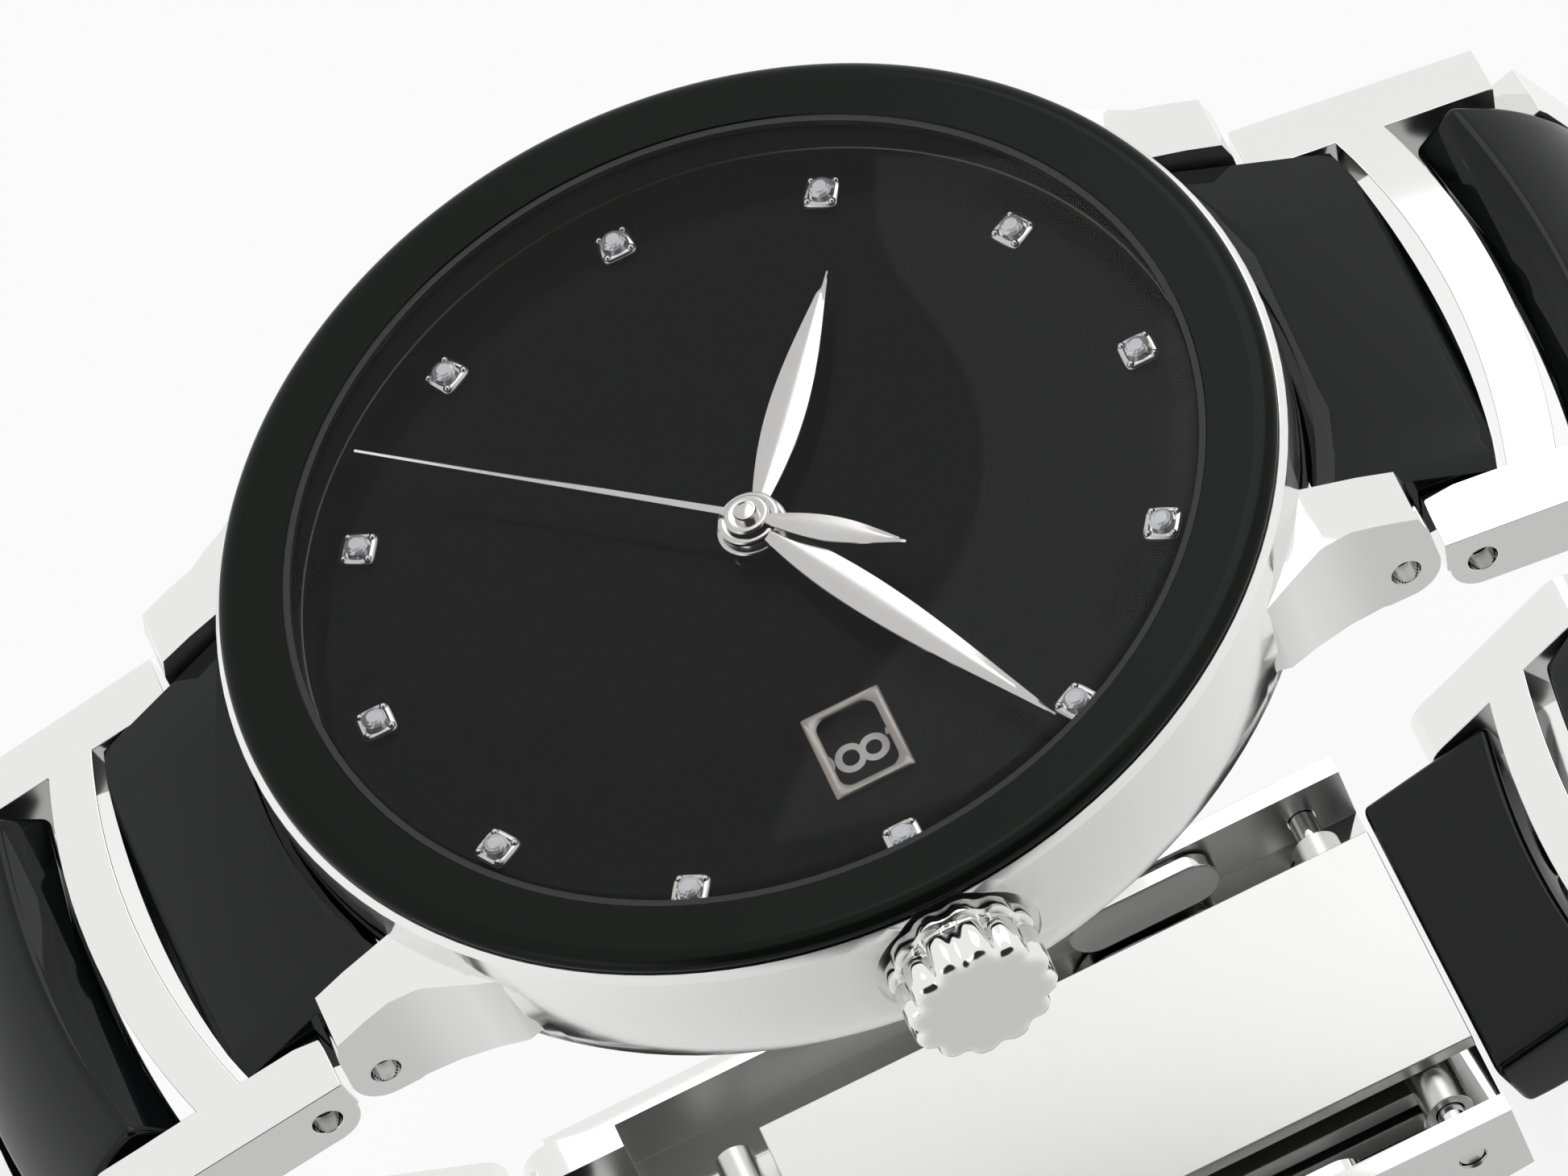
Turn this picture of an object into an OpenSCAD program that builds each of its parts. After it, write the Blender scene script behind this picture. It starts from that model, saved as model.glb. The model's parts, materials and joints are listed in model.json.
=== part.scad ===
// Automatic wristwatch with a steel and ceramic bracelet, closed as worn.
// Millimetres. Origin: centre of the case back's outer face. +Z points out of the dial,
// +Y to 12 o'clock and +X to 3 o'clock, through the crown.

/* [Case] */
// Widest radius of the steel case band
case_r = 19.1; // [18.6:0.1:20]
// Height of the case band's top edge above the case back
case_top = 8.1; // [7.9:0.1:9]
// Radius of the movement chamber
chamber_r = 15.05; // [15:0.05:15.4]
// Half width of the gap between two lugs
lug_gap = 8.15; // [7.9:0.05:8.4]
// Thickness of one lug along the lug pin
lug_t = 2.3; // [2:0.1:2.6]
// Distance of a lug pin from the centre
lug_pin_y = 19.35; // [19.2:0.05:20]
// Height of the lug pins above the case back
lug_pin_z = 2.4; // [2.2:0.1:2.6]
// Radius of the steel around a lug pin
lug_end_r = 1.28; // [1.1:0.02:1.35]

/* [Glass and bezel] */
// Outer radius of the ceramic bezel
bezel_r = 18.85; // [18.5:0.05:18.9]
// Inner radius of the bezel ring
bezel_bore = 16.45; // [16.3:0.05:16.6]
// Height of the bezel's flat top above the case back
bezel_top = 8.65; // [8.55:0.05:9.1]
// Thickness of the crystal
crystal_t = 0.6; // [0.5:0.05:0.8]
// Thickness of the gasket round the crystal
gasket_t = 0.26; // [0.2:0.02:0.3]

/* [Dial and hands] */
// Height of the dial's face above the case back
dial_z = 6.4; // [6.3:0.05:6.5]
// Thickness of the dial
dial_t = 0.4; // [0.3:0.05:0.4]
// Distance of the hour markers from the centre
marker_r = 14.55; // [14:0.05:14.8]
// Side of one square marker setting
marker_w = 1.36; // [1.2:0.02:1.5]
// Length of the hour hand
hour_len = 10.7; // [9.5:0.1:11.5]
// Length of the minute hand
minute_len = 14.95; // [13.5:0.05:15.4]
// Length of the seconds hand
second_len = 15.2; // [14:0.1:15.6]
// Length of the seconds hand's tail
tail_len = 6.1; // [4.5:0.1:7]
// Place of the date window's centre along +X
date_x = 9.9; // [9.7:0.05:10.1]
// Width of the date frame along X
date_w = 3.8; // [3.4:0.1:4]
// Height of the date frame along Y
date_h = 2.94; // [2.6:0.02:3.2]

/* [Crown] */
// Radius of the crown over its flutes
crown_r = 2.75; // [2.5:0.05:2.85]
// Distance of the crown's end from the centre
crown_end = 21.4; // [21:0.1:22]
// Number of flutes on the crown
crown_flutes = 12; // [8:1:16]
// Radius of the winding stem
stem_r = 0.3; // [0.25:0.01:0.32]

/* [Bracelet] */
// Half width of the bracelet at the case
band_half = 10.35; // [10:0.05:10.6]
// How much narrower each steel link's half width is than the one before
band_taper = 0.3; // [0.1:0.05:0.35]
// Width of a steel link's side rail
rail_w = 2.3; // [2:0.1:2.5]
// Distance between the two pins of a steel link
link_pitch = 6.5; // [6:0.1:7.8]
// Distance between the two pins of a ceramic centre piece
centre_pitch = 2.95; // [2.8:0.05:3.5]
// Radius of a bracelet pin
pin_r = 0.5; // [0.4:0.02:0.56]
// Radial running clearance round a bracelet pin
pin_gap = 0.05; // [0.02:0.01:0.08]
// Radius of a steel link's end about its pin
link_end_r = 1.2; // [1.1:0.05:1.3]
// Height of a steel link's middle above its pins
link_top = 1.95; // [1.7:0.05:2.2]
// Height of a ceramic centre piece's middle above its pins
centre_top = 2.1; // [1.8:0.05:2.3]

/* [Clasp] */
// Thickness of one folding blade
blade_t = 0.75; // [0.6:0.05:0.8]
// Half width of a folding blade
blade_half = 5.2; // [4.2:0.1:5.4]
// Thickness of the clasp cover's side wall
cover_wall = 0.85; // [0.7:0.05:1]

/* [Movement] */
// Radius of the main plate
plate_r = 12.9; // [12.7:0.05:12.95]
// Thickness of the main plate
plate_t = 1.25; // [1.1:0.05:1.3]
// Radius of the winding rotor
rotor_r = 12.3; // [11.5:0.1:12.5]
// Radius of the balance wheel
balance_r = 2.5; // [2:0.1:2.6]
// Radius of the arbors of the gear train
arbor_r = 0.22; // [0.18:0.01:0.24]
// Radial running clearance of an arbor in its jewel
jewel_gap = 0.03; // [0.02:0.01:0.05]

/* [Hidden] */
$fn = 96;
eps = 0.01;      // how far a cutter runs past the face it cuts
seat = 0.02;     // gap between pieces that lie against each other

// Bracelet: segments 0, 2, 4 ... are ceramic pieces and 1, 3, 5 ... are steel links. Each angle is
// how far a segment dips below the horizontal, so the list bends the band round a wrist.
dips = [28, 10.5, 52, 68, 84, 97, 110, 124, 138, 152, 166];
clasp_dip = 180;
band_bulge = 1.05;                        // how far the curved ends bow away from the case
band_chord = 8;                           // half chord of that bow
bow_r = (band_chord * band_chord + band_bulge * band_bulge) / (2 * band_bulge);
band_crown_r = 90;                        // crosswise dome of the band's outer face
link_dome_r = 26;                         // lengthwise dome of a steel link
centre_dome_r = 9;                        // lengthwise dome of a ceramic piece
slot_front = 1.9;                         // from a link's pin to its bridge
bridge_w = 1.82;                          // length of that bridge
centre_front = 1.85;                      // how far a ceramic piece reaches before its first pin
centre_rear = 1.1;                        // and past its second pin
centre_bottom = -1.15;
side_gap = 0.12;                          // between a ceramic piece and the rails beside it
pin_recess = 0.8;                         // from a rail's face to the end of its pin
link_over = 0.1;                          // how far a link's top edge overhangs its round end

function seg_len(i) = i % 2 == 0 ? centre_pitch : link_pitch;
function pin_at(i) = i == 0 ? [lug_pin_y, lug_pin_z]
  : pin_at(i - 1) + seg_len(i - 1) * [cos(dips[i - 1]), -sin(dips[i - 1])];
function half_w(k) = band_half - band_taper * (k - 1);      // half width of steel link k
function slot_w(k) = half_w(k) - rail_w;                    // half width of its slots
function piece_w(k) = k == 0 ? min(lug_gap, slot_w(1)) - side_gap
  : k == 5 ? min(slot_w(5), cover_ear) - side_gap : slot_w(k + 1) - side_gap;

// Clasp: the cover runs from the last pin on the 6 side to the last ceramic piece on the 12 side.
clasp_half = half_w(5) - 0.2;
cover_ear = clasp_half - rail_w + 0.4;                      // inside of the cover's hinge ears
clasp_span = 2 * pin_at(11)[0];
open_gap = 0.35;                                            // clearance of the opened pivot
cover_end = clasp_span - centre_rear - open_gap;
floor_in = 1.1;
floor_out = 1.9;
cover_lip = -1.55;
cover_dome_r = 120;
cover_mid = cover_end / 2;
cover_top = floor_out + cover_dome_r - sqrt(cover_dome_r * cover_dome_r - cover_mid * cover_mid);
blade_pin_s = cover_end - 1.95;                             // pivot of the outer blade
blade_pin_h = 0.1;
fold_s = 6;                                                 // pivot between the two blades
fold_h = -0.4;
knuckle_r = 0.75;
barrel_r = 0.9;
button_s = cover_end - 8.5;
button_h = -0.2;
button_w = 4.4;
button_r = 0.8;
button_out = 0.85;
button_gap = 0.06;

// Heights in the case
dial_bottom = dial_z - dial_t;
plate_top = dial_bottom - 0.35;
plate_bottom = plate_top - plate_t;
bridge_low = 1.85;
bridge_high = 2.65;
rotor_low = 0.95;
rotor_high = 1.55;
back_t = 0.88;
crown_z = plate_top - 0.4;
crystal_low = bezel_top - 0.3;
crystal_r = bezel_bore - gasket_t - seat;
bezel_low = case_top - 1.2;
bezel_seat_r = case_r - 0.9;                                // spigot of the bezel in the case
flange_r = bezel_bore - 0.15;
dial_r = bezel_bore + 0.35;
hand_t = 0.18;
hour_z = dial_z + 0.75;
minute_z = dial_z + 1.2;
second_z = dial_z + 1.62;
hub_top = dial_z + 1.88;
time_hour = 305.3;                                          // degrees clockwise from 12
time_minute = 64.5;
time_second = 222.4;
tube_r = 1.1;
crown_base = case_r - 0.35;

// Gear train: teeth, module, and the angle from each arbor to the next
wheel_teeth = 54;
pinion_teeth = 8;
great_pinion_teeth = 10;
barrel_teeth = 60;
third_m = 0.13;
great_m = 0.14;
barrel_m = 0.15;
fourth_m = 0.11;
tooth_slack = 0.09;
function mesh_dist(m, a, b) = m * (a + b) / 2;
third_d = mesh_dist(third_m, wheel_teeth, pinion_teeth);
great_d = mesh_dist(great_m, wheel_teeth, pinion_teeth);
barrel_d = mesh_dist(barrel_m, barrel_teeth, great_pinion_teeth);
escape_d = mesh_dist(fourth_m, wheel_teeth, pinion_teeth);
function polar(d, a) = [d * cos(a), d * sin(a)];
third_a = 124;
great_a = 62;
barrel_a = -12;
escape_a = 215;
third_xy = polar(third_d, third_a);
great_xy = third_xy + polar(great_d, great_a);
barrel_xy = great_xy + polar(barrel_d, barrel_a);
escape_xy = polar(escape_d, escape_a);
pallet_xy = escape_xy + polar(2.6, 259);
balance_xy = pallet_xy + polar(2.85, 276);
cock_foot = polar(11.55, 226);
level_a = [plate_bottom - 0.45, plate_bottom - 0.2];        // nearest the plate
level_b = [level_a[0] - 0.45, level_a[1] - 0.45];
level_c = [level_b[0] - 0.45, level_b[1] - 0.45];
arbor_low = bridge_low + 0.25;
arbor_high = plate_bottom + 0.55;
escape_r = 1.92;
screw_r = 0.7;
pillar_r = 0.85;
pillars = [polar(11.6, 106), polar(11.6, 160), polar(11.6, -25), polar(11.6, -60)];
clamp_angles = [45, 165, 285];

// ---------- shared shapes ----------

module turned(points) { rotate_extrude() polygon(points); }
module tube(r_out, r_in, z0, z1) {
  translate([0, 0, z0]) difference() {
    cylinder(r = r_out, h = z1 - z0);
    translate([0, 0, -eps]) cylinder(r = r_in, h = z1 - z0 + 2 * eps);
  }
}
module rod(r, z0, z1) { translate([0, 0, z0]) cylinder(r = r, h = z1 - z0); }
module x_rod(r, x0, x1) { translate([x0, 0, 0]) rotate([0, 90, 0]) cylinder(r = r, h = x1 - x0); }
// Extrudes an outline drawn in (length, height) along X, from -half to half
module side_solid(half) {
  translate([-half, 0, 0]) rotate([90, 0, 90]) linear_extrude(2 * half) children();
}
module at(xy) { translate([xy[0], xy[1], 0]) children(); }
module clock(angle) { rotate([0, 0, -angle]) children(); }
// Puts a part drawn with its first pin at the origin and +Y along the band onto segment i
module on_segment(i, side) {
  p = i > 11 ? pin_at(11) : pin_at(i);
  mirror([0, side < 0 ? 1 : 0, 0])
    translate([0, p[0], p[1]]) rotate([i >= 11 ? -clasp_dip : -dips[i], 0, 0]) children();
}

// ---------- case ----------

module lug_plan() {
  polygon([[lug_gap, 13], [lug_gap, 21.2], [lug_gap + lug_t, 21.2], [lug_gap + lug_t + 0.05, 18.2],
           [lug_gap + lug_t + 0.5, 16.9], [lug_gap + lug_t + 1.3, 15.6],
           [lug_gap + lug_t + 2.1, 14.4], [lug_gap + lug_t + 2.2, 13.4], [lug_gap + lug_t + 1.5, 12.6]]);
}
module lug_profile() {
  tip = lug_pin_y + lug_end_r;
  union() {
    translate([lug_pin_y, lug_pin_z]) circle(r = lug_end_r);
    polygon([[12, 6.9], [14.2, 6.62], [17.2, 6.15], [19.2, 5.35], [tip - 0.2, 4.75], [tip, 3.9],
             [tip, lug_pin_z], [lug_pin_y, lug_pin_z - lug_end_r], [18.4, lug_pin_z - lug_end_r + 0.05],
             [16.9, 1.75], [15.4, 2.6], [14, 3.3], [12, 3.9]]);
  }
}
module lug() {
  intersection() {
    translate([0, 0, -1]) linear_extrude(case_top + 1) lug_plan();
    side_solid(20) lug_profile();
  }
}
module case_body() {
  color("silver") difference() {
    union() {
      turned([[chamber_r, 1.02], [16.9, 1.02], [17.9, 1.7], [18.55, 2.6], [case_r - 0.15, 4.4],
              [case_r, 6], [case_r, case_top - 0.3], [case_r - 0.2, case_top],
              [bezel_seat_r + 0.02, case_top], [bezel_seat_r + 0.02, bezel_low - seat],
              [dial_r + seat, bezel_low - seat], [dial_r + seat, dial_bottom],
              [chamber_r, dial_bottom]]);
      for (sx = [0, 1], sy = [0, 1]) mirror([sx, 0, 0]) mirror([0, sy, 0]) difference() {
        lug();
        translate([0, 0, -2]) cylinder(r = 18, h = case_top + 4);
      }
    }
    // pockets between the lugs for the first ceramic pieces
    for (sy = [0, 1]) mirror([0, sy, 0])
      translate([-lug_gap, lug_pin_y - 1.8, -1]) cube([2 * lug_gap, 6, 5.35]);
    for (sy = [-1, 1]) translate([0, sy * lug_pin_y, lug_pin_z])
      x_rod(pin_r + pin_gap, -15, 15);
    translate([0, 0, crown_z]) {
      x_rod(tube_r, 10, 25);
      x_rod(crown_r + 0.25, crown_base - 0.2, 25);
    }
  }
}
module lug_pins() {
  color("dimgray") for (sy = [-1, 1]) translate([0, sy * lug_pin_y, lug_pin_z])
    x_rod(pin_r, -lug_gap - lug_t + pin_recess, lug_gap + lug_t - pin_recess);
}
module bezel() {
  color("black") turned([
    [flange_r + 0.05, bezel_low], [bezel_seat_r, bezel_low], [bezel_seat_r, case_top + seat],
    [bezel_r, case_top + seat], [bezel_r, case_top + 0.1], [bezel_r - 0.12, case_top + 0.32],
    [bezel_r - 0.35, bezel_top - 0.1], [bezel_r - 0.75, bezel_top], [bezel_bore, bezel_top],
    [bezel_bore, crystal_low - seat], [flange_r + 0.05, crystal_low - seat]]);
}
module crystal() {
  top = crystal_low + crystal_t;
  color([0.8, 0.85, 0.9, 0.3]) turned([[0, crystal_low], [crystal_r, crystal_low],
    [crystal_r, top - 0.15], [crystal_r - 0.2, top], [0, top]]);
}
module crystal_gasket() {
  color("black") tube(bezel_bore - seat, crystal_r + seat, crystal_low, bezel_top - 0.05);
}
module flange_ring() {
  color([0.12, 0.1, 0.09]) tube(flange_r + 0.25, flange_r - 0.05, dial_z + seat, bezel_low - seat);
}

// ---------- dial ----------

module dial() {
  color([0.06, 0.06, 0.07]) difference() {
    rod(dial_r, dial_bottom, dial_z);
    rod(1.15, dial_bottom - eps, dial_z + eps);
    translate([date_x - date_w / 2 + 0.3, -date_h / 2 + 0.3, dial_bottom - eps])
      cube([date_w - 0.6, date_h - 0.6, dial_t + 2 * eps]);
  }
}
module marker_settings() {
  color("silver") for (h = [0:11]) clock(30 * h) translate([0, marker_r, dial_z + seat])
    difference() {
      intersection() {
        translate([-marker_w / 2, -marker_w / 2, 0]) cube([marker_w, marker_w, 0.42]);
        cylinder(r = marker_w * 0.64, h = 1);
      }
      translate([0, 0, 0.2]) cylinder(r1 = 0.2, r2 = marker_w * 0.34, h = 0.24);
    }
}
module diamonds() {
  girdle = marker_w * 0.31;
  color("white") for (h = [0:11]) clock(30 * h) translate([0, marker_r, dial_z + seat + 0.24])
    turned([[0, 0], [0.12, 0], [girdle, 0.22], [girdle, 0.26], [girdle * 0.6, 0.36], [0, 0.36]]);
}
module date_frame() {
  color([0.35, 0.33, 0.31]) translate([date_x, 0, dial_z + seat]) difference() {
    translate([-date_w / 2, -date_h / 2, 0]) cube([date_w, date_h, 0.16]);
    translate([-date_w / 2 + 0.32, -date_h / 2 + 0.32, -1]) cube([date_w - 0.64, date_h - 0.64, 2]);
  }
}
module date_ring() {
  color([0.05, 0.05, 0.05]) tube(date_x + 2.4, date_x - 2.3, plate_top + 0.06, dial_bottom - 0.09);
}

// ---------- hands ----------

// A leaf: pointed at its tip, widest at belly and narrow at the hub, cut from a flat strip
module leaf(len, width, belly, root, thick) {
  linear_extrude(thick) polygon([
    [-root, 0], [-width * 0.36, belly * 0.45], [-width / 2, belly], [-width * 0.4, belly + (len - belly) * 0.35],
    [-width * 0.2, belly + (len - belly) * 0.72], [-0.06, len],
    [0.06, len], [width * 0.2, belly + (len - belly) * 0.72], [width * 0.4, belly + (len - belly) * 0.35],
    [width / 2, belly], [width * 0.36, belly * 0.45], [root, 0]]);
}
module hour_hand() {
  color("silver") clock(time_hour) difference() {
    union() {
      translate([0, 0, hour_z]) leaf(hour_len, 1.5, hour_len * 0.48, 0.3, hand_t);
      rod(1.25, hour_z, hour_z + hand_t + 0.02);
      rod(1.02, plate_top + 0.1, hour_z + hand_t);
    }
    rod(0.82, 0, hub_top);
  }
}
module minute_hand() {
  color("silver") clock(time_minute) difference() {
    union() {
      translate([0, 0, minute_z]) leaf(minute_len, 1.45, minute_len * 0.36, 0.3, hand_t);
      rod(1.1, minute_z, minute_z + hand_t + 0.02);
      rod(0.76, plate_top - 0.6, minute_z + hand_t);
    }
    rod(arbor_r + 0.06, 0, hub_top);
  }
}
module seconds_hand() {
  color("silver") clock(time_second) difference() {
    union() {
      translate([0, 0, second_z]) linear_extrude(hand_t - 0.06)
        polygon([[-0.17, 0], [-0.07, second_len], [0.07, second_len], [0.17, 0]]);
      translate([0, 0, second_z]) rotate([0, 0, 180]) leaf(tail_len, 1.05, tail_len * 0.5, 0.15, hand_t - 0.06);
      rod(0.8, second_z, second_z + 0.14);
      rod(0.42, second_z - 0.12, hub_top);
    }
    rod(arbor_r + jewel_gap / 3, 0, hub_top - 0.1);
  }
}

// ---------- crown ----------

module crown_flute_cuts(x0, x1, depth) {
  for (i = [0:crown_flutes - 1]) rotate([360 / crown_flutes * (i + 0.5), 0, 0])
    translate([0, 0, crown_r + 0.62 - depth]) x_rod(0.62, x0, x1);
}
module crown() {
  color("silver") translate([0, 0, crown_z]) difference() {
    rotate([0, 90, 0]) turned([
      [0, crown_base + 0.9], [tube_r + 0.35, crown_base + 0.9], [tube_r + 0.35, crown_base],
      [crown_r - 0.1, crown_base], [crown_r, crown_base + 0.15], [crown_r, crown_base + 0.65],
      [crown_r - 0.22, crown_base + 0.75], [crown_r - 0.22, crown_base + 0.95],
      [crown_r - 0.02, crown_base + 1.1], [crown_r - 0.1, crown_end - 0.25],
      [crown_r - 0.35, crown_end - 0.04], [0, crown_end]]);
    crown_flute_cuts(crown_base - 1, crown_base + 0.75, 0.14);
    crown_flute_cuts(crown_base + 0.95, crown_end + 1, 0.26);
    x_rod(stem_r, crown_base, crown_base + 1.6);
  }
}
module winding_stem() {
  color("gray") translate([0, 0, crown_z]) difference() {
    union() {
      x_rod(stem_r, 9.2, crown_base + 1.5);
      x_rod(tube_r - 0.06, case_r - 2.1, case_r - 0.9);
      x_rod(stem_r + 0.28, 13.2, 13.8);
    }
  }
}

// ---------- movement ----------

// Toothed outline: flat-topped teeth that taper, thinned by the slack
module gear(teeth, m) {
  r = m * teeth / 2;
  tip = r + 0.8 * m;
  foot = r - 1.1 * m;
  step = 360 / teeth;
  slack = tooth_slack * step;
  polygon([for (i = [0:teeth - 1], q = [[foot, -0.3], [tip, -0.1], [tip, 0.1], [foot, 0.3]])
    polar(q[0], i * step + q[1] * (step - slack))]);
}
// A wheel with its rim, three arms, its arbor and a pinion
// mate and pinion_mate are the directions of the gears that the wheel and its pinion mesh with
module wheel(teeth, m, level, mate, pinion, pinion_m, pinion_z, pinion_mate) {
  r = m * teeth / 2;
  translate([0, 0, level[0]]) linear_extrude(level[1] - level[0]) difference() {
    rotate(mate) gear(teeth, m);
    difference() {
      circle(r = r - 0.65);
      circle(r = 0.75);
      for (a = [0:120:240]) rotate(a) translate([0, -0.2]) square([r, 0.4]);
    }
  }
  rod(arbor_r, arbor_low, arbor_high);
  translate([0, 0, pinion_z[0]]) linear_extrude(pinion_z[1] - pinion_z[0])
    rotate(pinion_mate + 180 / pinion) gear(pinion, pinion_m);
}
module barrel() {
  color("goldenrod") at(barrel_xy) {
    translate([0, 0, level_a[0]]) linear_extrude(level_a[1] - level_a[0])
      rotate(barrel_a + 180) gear(barrel_teeth, barrel_m);
    tube(3.6, 3.35, level_c[1] + 0.12, level_a[0]);
    rod(3.35, level_a[0] - 0.12, level_a[0]);
    rod(3.35, level_c[1] + 0.12, level_c[1] + 0.24);
    rod(arbor_r + 0.25, bridge_low + 0.15, level_a[1]);
    rod(arbor_r, level_a[1], arbor_high);
  }
}
module great_wheel() {
  color("goldenrod") at(great_xy)
    wheel(wheel_teeth, great_m, level_c, great_a + 180,
          great_pinion_teeth, barrel_m, [level_a[0] - 0.1, level_a[1] + 0.05], barrel_a);
}
module third_wheel() {
  color("goldenrod") at(third_xy)
    wheel(wheel_teeth, third_m, level_b, third_a + 180,
          pinion_teeth, great_m, [level_c[0] - 0.05, level_c[1] + 0.1], great_a);
}
module fourth_wheel() {
  color("goldenrod") {
    wheel(wheel_teeth, fourth_m, level_a, escape_a,
          pinion_teeth, third_m, [level_b[0] - 0.08, level_b[1] + 0.08], third_a);
    rod(arbor_r, arbor_high, hub_top - 0.2);
  }
}
module escape_wheel() {
  color("silver") at(escape_xy) {
    translate([0, 0, level_c[0]]) linear_extrude(level_c[1] - level_c[0]) difference() {
      polygon([for (i = [0:19], q = [[escape_r - 0.55, -5], [escape_r - 0.5, 2], [escape_r, 5.5], [escape_r, 7]])
        polar(q[0], 18 * i + q[1])]);
      difference() {
        circle(r = escape_r - 0.8);
        circle(r = 0.4);
        for (a = [0, 90]) rotate(a) square([4, 0.24], center = true);
      }
    }
    rod(arbor_r, arbor_low, arbor_high);
    translate([0, 0, level_a[0] - 0.1]) linear_extrude(0.45)
      rotate(escape_a + 180 + 180 / pinion_teeth) gear(pinion_teeth, fourth_m);
  }
}
module pallet_fork() {
  color("silver") at(pallet_xy) {
    translate([0, 0, level_c[0]]) linear_extrude(level_c[1] - level_c[0]) rotate(79) union() {
      circle(r = 0.42);
      for (s = [-1, 1]) polygon([[0.1, 0.3 * s], [0.7, 1.4 * s], [1.15, 1.95 * s],
                                 [1.35, 1.75 * s], [0.85, 1.2 * s], [0.45, 0.05 * s]]);
      polygon([[-0.3, 0.16], [-1.9, 0.14], [-2.2, 0.4], [-2.28, 0.32], [-2.05, 0], [-2.28, -0.32],
               [-2.2, -0.4], [-1.9, -0.14], [-0.3, -0.16]]);
    }
    rod(arbor_r * 0.7, arbor_low, arbor_high);
  }
}
// One flat hairspring turn after another, as an outline of two spirals
module hairspring() {
  steps = 40;
  turns = 3;
  function coil_r(t) = 0.45 + 0.75 * t;
  linear_extrude(0.1) polygon(concat(
    [for (i = [0:steps]) polar(coil_r(i / steps), i / steps * turns * 360)],
    [for (i = [steps:-1:0]) polar(coil_r(i / steps) + 0.06, i / steps * turns * 360)]));
}
module balance_wheel() {
  color("goldenrod") at(balance_xy) {
    tube(balance_r, balance_r - 0.3, level_b[0] - 0.05, level_b[1] + 0.1);
    translate([0, 0, level_b[0]]) for (a = [0, 90]) rotate(a)
      translate([-balance_r + 0.15, -0.14, 0]) cube([2 * balance_r - 0.3, 0.28, 0.2]);
    rod(arbor_r * 0.8, arbor_low, arbor_high);
    rod(0.34, level_c[0], level_c[1] + 0.1);
    translate([0, 0, level_a[0] + 0.05]) hairspring();
    rod(0.48, level_a[0], level_a[0] + 0.2);
  }
}
module arbor_holes(list, z0, z1, extra) {
  for (xy = list) at(xy) rod(arbor_r + jewel_gap + extra, z0, z1);
}
module movement_holder() {
  color("gray") difference() {
    tube(chamber_r - 0.05, plate_r + 0.05, bridge_low, dial_bottom - seat);
    translate([0, 0, crown_z]) x_rod(stem_r + 0.4, 10, 20);
    for (a = clamp_angles) rotate(a) translate([(plate_r + chamber_r) / 2, 0, 0])
      rod(screw_r * 0.6 + seat, bridge_low - 1, bridge_low + 1.2);
  }
}
module main_plate() {
  color("silver") difference() {
    union() {
      rod(plate_r, plate_bottom, plate_top);
      for (xy = pillars) at(xy) rod(pillar_r, bridge_high + seat, plate_bottom);
      at(cock_foot) rod(pillar_r, bridge_high + seat, plate_bottom);
    }
    translate([0, 0, crown_z]) x_rod(stem_r + jewel_gap, 6, 16);
    arbor_holes([third_xy, great_xy, barrel_xy, escape_xy], plate_bottom - 1, arbor_high + 0.1, 0);
    arbor_holes([pallet_xy, balance_xy], plate_bottom - 1, arbor_high + 0.1, -arbor_r * 0.2);
    rod(0.82, plate_bottom + 0.4, plate_top + 1);
    rod(arbor_r + jewel_gap, plate_bottom - 1, plate_top);
    // recess that the date ring turns in
    translate([0, 0, plate_top - 0.05]) tube(date_x + 2.5, date_x - 2.4, 0, 1);
  }
}
module train_bridge() {
  color("silver") difference() {
    rod(plate_r - 0.3, bridge_low, bridge_high);
    at(balance_xy) rod(balance_r + 2.1, 0, 5);
    at(cock_foot) rod(2, 0, 5);
    at(cock_foot * 1.15) rod(2.4, 0, 5);
    at(polar(8.9, 292)) rod(0.9, 0, 5);
    arbor_holes([[0, 0], third_xy, great_xy, escape_xy], 1, 4, 0);
    at(barrel_xy) rod(arbor_r + 0.25 + jewel_gap, 1, 4);
    rod(1.6, 1, bridge_low + 0.2);
  }
  color("silver") at(pallet_xy) tube(0.75, arbor_r * 0.8 + jewel_gap, arbor_low - 0.1, bridge_high);
  color("silver") translate([0, 0, arbor_low - 0.1]) linear_extrude(bridge_high - arbor_low + 0.1) difference() {
    translate([pallet_xy[0] - 2.6, pallet_xy[1] - 0.35]) square([2, 0.7]);
    translate(pallet_xy) circle(r = 0.7);
  }
}
module balance_cock() {
  color("silver") difference() {
    union() {
      at(balance_xy) rod(1, bridge_low, bridge_high);
      at(cock_foot) rod(1.2, bridge_low, bridge_high);
      arm = balance_xy - cock_foot;
      at(cock_foot) rotate([0, 0, atan2(arm[1], arm[0])]) translate([0, -0.75, bridge_low])
        cube([norm(arm), 1.5, bridge_high - bridge_low]);
    }
    at(balance_xy) rod(arbor_r * 0.8 + jewel_gap, 0, 4);
  }
}
module rotor() {
  color("lightgray") translate([0, 0, rotor_low]) linear_extrude(rotor_high - rotor_low) difference() {
    union() {
      circle(r = 2.2);
      difference() {
        circle(r = rotor_r);
        translate([-20, 0]) square([40, 20]);
        difference() {
          circle(r = rotor_r - 2.4);
          circle(r = 2.2);
          for (a = [195, 270, 345]) rotate(a) translate([0, -1]) square([rotor_r, 2]);
        }
      }
    }
    circle(r = 1.05);
  }
}
module rotor_bearing() {
  color("goldenrod") {
    rod(1, rotor_low, bridge_low + 0.15);
    rod(1.5, rotor_high + 0.1, bridge_low + 0.15);
  }
}
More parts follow.
